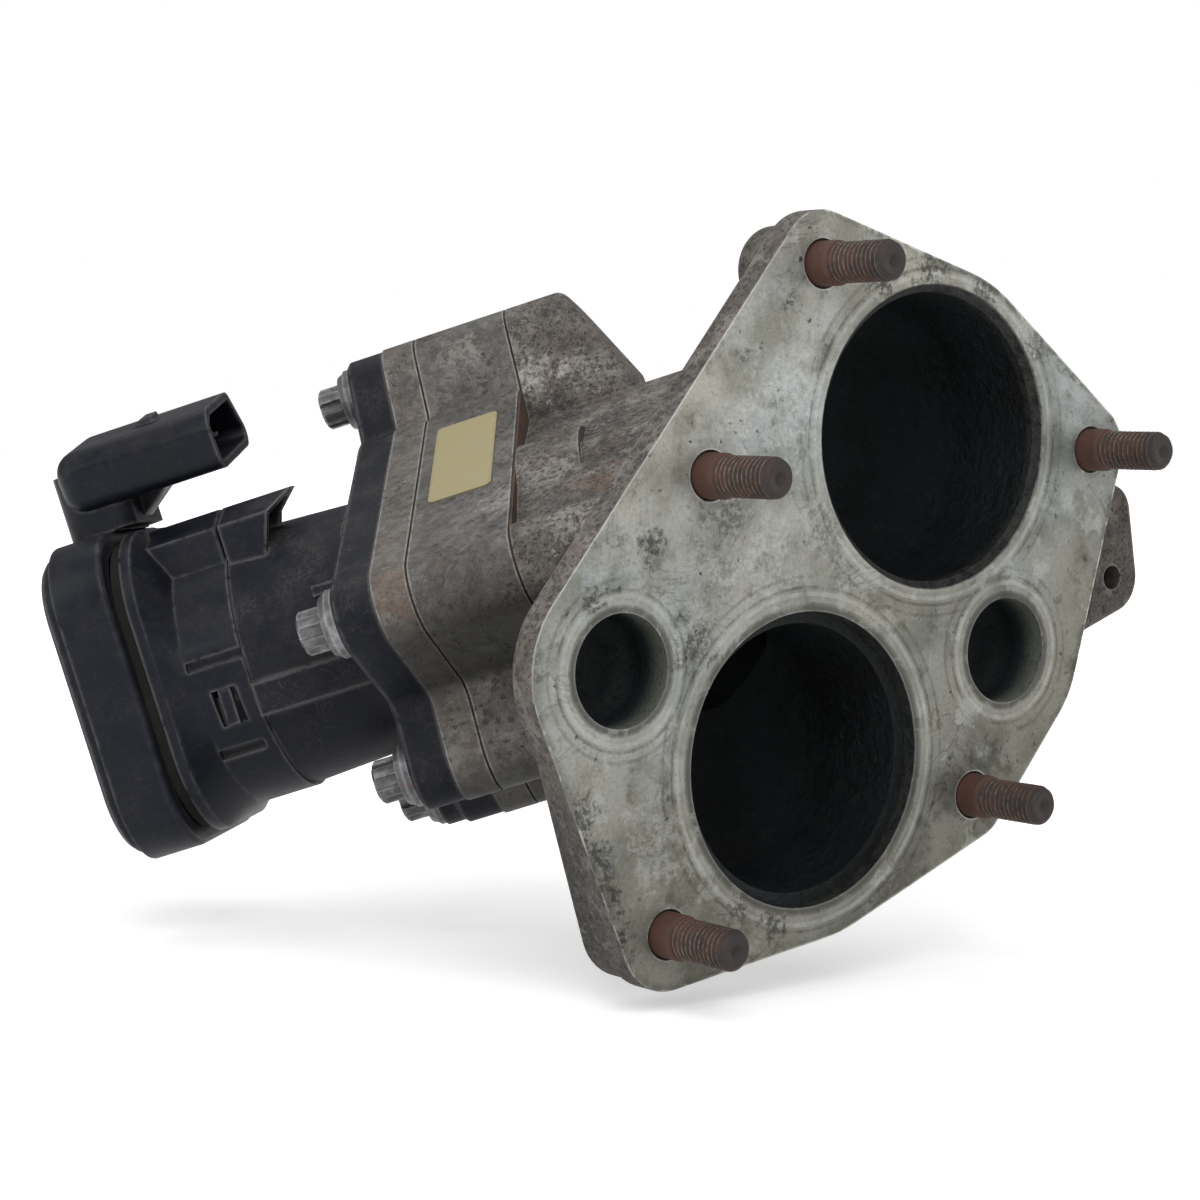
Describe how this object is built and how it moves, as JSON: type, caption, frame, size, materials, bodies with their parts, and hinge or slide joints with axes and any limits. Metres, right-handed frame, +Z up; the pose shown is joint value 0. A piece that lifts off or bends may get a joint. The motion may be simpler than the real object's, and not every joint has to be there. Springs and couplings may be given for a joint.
{
  "type": "exhaust gas recirculation valve",
  "caption": "Exhaust gas recirculation valve: cast body with ported flange and studs, motor-driven poppet, black actuator housing and angled connector socket.",
  "frame": {"origin": "centre of the lower large port on the flange face", "axes": "+X along the flange towards its right side, +Z up, -Y out of the flange face; the valve axis runs back and down to the left"},
  "size_m": [0.1989, 0.1913, 0.1482],
  "materials": {
    "cast_alloy": "rough sand-cast aluminium, stained",
    "stud_steel": "rusted steel thread",
    "gasket_sheet": "rust-stained steel sheet",
    "spacer_alloy": "weathered die-cast aluminium",
    "plate_alloy": "weathered machined aluminium",
    "seal_rubber": "soft black seal",
    "label_foil": "yellowed foil",
    "black_plastic": "dusty glass-filled plastic",
    "bolt_steel": "grimy zinc-plated steel",
    "valve_steel": "heat-stained stainless steel",
    "bush_bronze": "sintered bronze",
    "spring_steel": "spring steel wire",
    "magnet_grey": "ferrite",
    "stator_steel": "stacked sheet steel",
    "copper_wire": "enamelled copper",
    "board_green": "coated circuit board",
    "contact_tin": "tinned contact"
  },
  "bodies": {
    "valve_body": {"valve_casting": "cast_alloy", "flange_studs": "stud_steel", "casting_gasket": "gasket_sheet", "spacer_body": "spacer_alloy", "plate_gasket": "gasket_sheet", "intermediate_plate": "plate_alloy", "actuator_seal": "seal_rubber", "blank_label": "label_foil", "seat_ring": "valve_steel", "stem_bush": "bush_bronze", "return_spring": "spring_steel", "motor_housing": "black_plastic", "compression_sleeves": "bolt_steel", "tall_sleeve": "bolt_steel", "actuator_bolts": "bolt_steel", "tall_bolt": "bolt_steel", "bolt_washers": "bolt_steel", "end_housing": "black_plastic", "cover_seal": "seal_rubber", "end_cover": "black_plastic", "cover_lid": "black_plastic", "connector_housing": "black_plastic", "connector_pins": "contact_tin", "stator_core": "stator_steel", "stator_coils": "copper_wire", "front_bearing": "valve_steel", "rear_bearing": "valve_steel", "circuit_board": "board_green"},
    "rotor": {"rotor_nut": "bush_bronze", "rotor_magnets": "magnet_grey", "sensor_magnet": "magnet_grey"},
    "plunger": {"valve_stem": "valve_steel", "valve_disc": "valve_steel", "spring_retainer": "valve_steel", "lead_screw": "valve_steel"}
  },
  "joints": [
    {"name": "rotor_spin", "type": "hinge", "parent": "valve_body", "child": "rotor", "pos_m": [-0.04659, 0.11949, 0.01316], "axis": [-0.6702, 0.6702, -0.319], "range_deg": [0, 540]},
    {"name": "valve_lift", "type": "slide", "parent": "valve_body", "child": "plunger", "axis": [0.6702, -0.6702, 0.319], "range_m": [0, 0.009], "deforming": ["return_spring"]}
  ],
  "couplings": [
    {"joint": "rotor_spin", "follows": "valve_lift", "rad_per_m": 1047.2}
  ]
}
